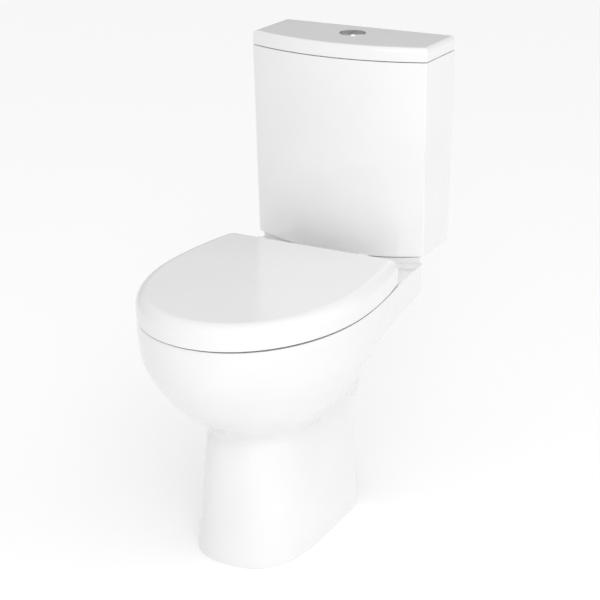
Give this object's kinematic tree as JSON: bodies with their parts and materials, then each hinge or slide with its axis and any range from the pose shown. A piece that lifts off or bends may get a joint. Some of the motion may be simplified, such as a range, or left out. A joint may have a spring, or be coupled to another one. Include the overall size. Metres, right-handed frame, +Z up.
{
  "type": "close coupled toilet",
  "caption": "Floor-standing close coupled toilet: ceramic pan with P-trap, bow-front cistern with dual push button, and a wrap-over soft-close seat.",
  "frame": {"origin": "on the floor, in the middle of the toilet's box in plan; the wall is at y = +0.310", "axes": "+Z up, +X to the right when facing the toilet, front towards -Y, wall at +Y"},
  "size_m": [0.36, 0.62, 0.79],
  "materials": {
    "glazed_ceramic": "gloss white vitreous china glaze",
    "seat_plastic": "gloss white thermoset",
    "chrome": "bright chrome plate",
    "valve_plastic": "moulded white plastic",
    "grey_plastic": "moulded grey plastic",
    "blue_plastic": "moulded blue plastic",
    "black_rubber": "matt black rubber",
    "clear_rubber": "translucent soft rubber",
    "steel": "zinc plated steel"
  },
  "bodies": {
    "pan_and_cistern": {"pan_rim": "glazed_ceramic", "pan_bowl": "glazed_ceramic", "pan_back": "glazed_ceramic", "pan_outlet": "glazed_ceramic", "pan_trap": "glazed_ceramic", "pan_sump": "glazed_ceramic", "pan_foot": "glazed_ceramic", "cistern_tank": "glazed_ceramic", "cistern_rest_pads": "black_rubber", "flush_valve_base": "valve_plastic", "flush_valve_washer": "black_rubber", "flush_valve_backnut": "grey_plastic", "doughnut_seal": "black_rubber", "flush_valve_cage": "valve_plastic", "flush_valve_housing": "grey_plastic", "coupling_bolts": "steel", "coupling_bolt_seals": "black_rubber", "coupling_washers": "steel", "coupling_wing_nuts": "steel", "fill_valve_body": "valve_plastic", "fill_valve_head": "grey_plastic", "fill_valve_cap": "blue_plastic", "fill_lever_pin": "steel", "fill_valve_washer": "black_rubber", "fill_valve_backnut": "grey_plastic", "hinge_base_caps": "chrome", "hinge_posts": "chrome", "hinge_pins": "steel", "hinge_base_washers": "clear_rubber", "hinge_bolts": "steel", "hinge_bolt_washers": "clear_rubber", "hinge_wing_nuts": "grey_plastic"},
    "seat_lid": {"seat_lid": "seat_plastic", "lid_buffers": "clear_rubber", "hinge_dampers": "grey_plastic"},
    "seat_ring": {"seat_ring": "seat_plastic", "ring_buffers": "clear_rubber"},
    "cistern_lid": {"cistern_lid": "glazed_ceramic", "cistern_lid_pads": "clear_rubber", "button_bezel": "chrome", "button_lock_nut": "grey_plastic", "full_button_spring": "steel", "half_button_spring": "steel"},
    "full_flush_button": {"full_flush_button": "chrome", "full_push_rod": "valve_plastic"},
    "half_flush_button": {"half_flush_button": "chrome", "half_push_rod": "valve_plastic"},
    "full_flush_plunger": {"full_flush_plunger": "blue_plastic"},
    "half_flush_plunger": {"half_flush_plunger": "valve_plastic"},
    "flush_riser": {"flush_riser": "valve_plastic", "flush_valve_seal": "black_rubber", "half_flush_float": "blue_plastic"},
    "fill_float": {"fill_float": "valve_plastic", "fill_link_rod": "steel"},
    "fill_lever": {"fill_lever": "valve_plastic"}
  },
  "joints": [
    {"name": "lid_hinge", "type": "hinge", "parent": "pan_and_cistern", "child": "seat_lid", "pos_m": [0, 0.093, 0.434], "axis": [-1, 0, 0], "range_deg": [0, 94]},
    {"name": "seat_hinge", "type": "hinge", "parent": "pan_and_cistern", "child": "seat_ring", "pos_m": [0, 0.093, 0.434], "axis": [-1, 0, 0], "range_deg": [0, 94]},
    {"name": "cistern_lid_lift", "type": "slide", "parent": "pan_and_cistern", "child": "cistern_lid", "axis": [0, 0, 1], "range_m": [0, 0.15]},
    {"name": "full_flush_press", "type": "slide", "parent": "cistern_lid", "child": "full_flush_button", "axis": [0, 0, -1], "range_m": [0, 0.006], "stiffness_N_per_m": 300, "springref_m": -0.004, "deforming": ["full_button_spring"]},
    {"name": "half_flush_press", "type": "slide", "parent": "cistern_lid", "child": "half_flush_button", "axis": [0, 0, -1], "range_m": [0, 0.006], "stiffness_N_per_m": 300, "springref_m": -0.004, "deforming": ["half_button_spring"]},
    {"name": "full_plunger_press", "type": "slide", "parent": "pan_and_cistern", "child": "full_flush_plunger", "axis": [0, 0, -1], "range_m": [0, 0.006]},
    {"name": "half_plunger_press", "type": "slide", "parent": "pan_and_cistern", "child": "half_flush_plunger", "axis": [0, 0, -1], "range_m": [0, 0.006]},
    {"name": "flush_riser_lift", "type": "slide", "parent": "pan_and_cistern", "child": "flush_riser", "axis": [0, 0, 1], "range_m": [0, 0.018]},
    {"name": "fill_float_rise", "type": "slide", "parent": "pan_and_cistern", "child": "fill_float", "axis": [0, 0, 1], "range_m": [0, 0.014]},
    {"name": "fill_lever_turn", "type": "hinge", "parent": "pan_and_cistern", "child": "fill_lever", "pos_m": [-0.088, 0.246, 0.708], "axis": [0, -1, 0], "range_deg": [0, 20.21]}
  ],
  "couplings": [
    {"joint": "seat_hinge", "follows": "lid_hinge", "ratio": 1},
    {"joint": "full_plunger_press", "follows": "full_flush_press", "ratio": 1},
    {"joint": "half_plunger_press", "follows": "half_flush_press", "ratio": 1},
    {"joint": "flush_riser_lift", "follows": "full_flush_press", "ratio": 3},
    {"joint": "fill_lever_turn", "follows": "fill_float_rise", "rad_per_m": 25.129}
  ]
}
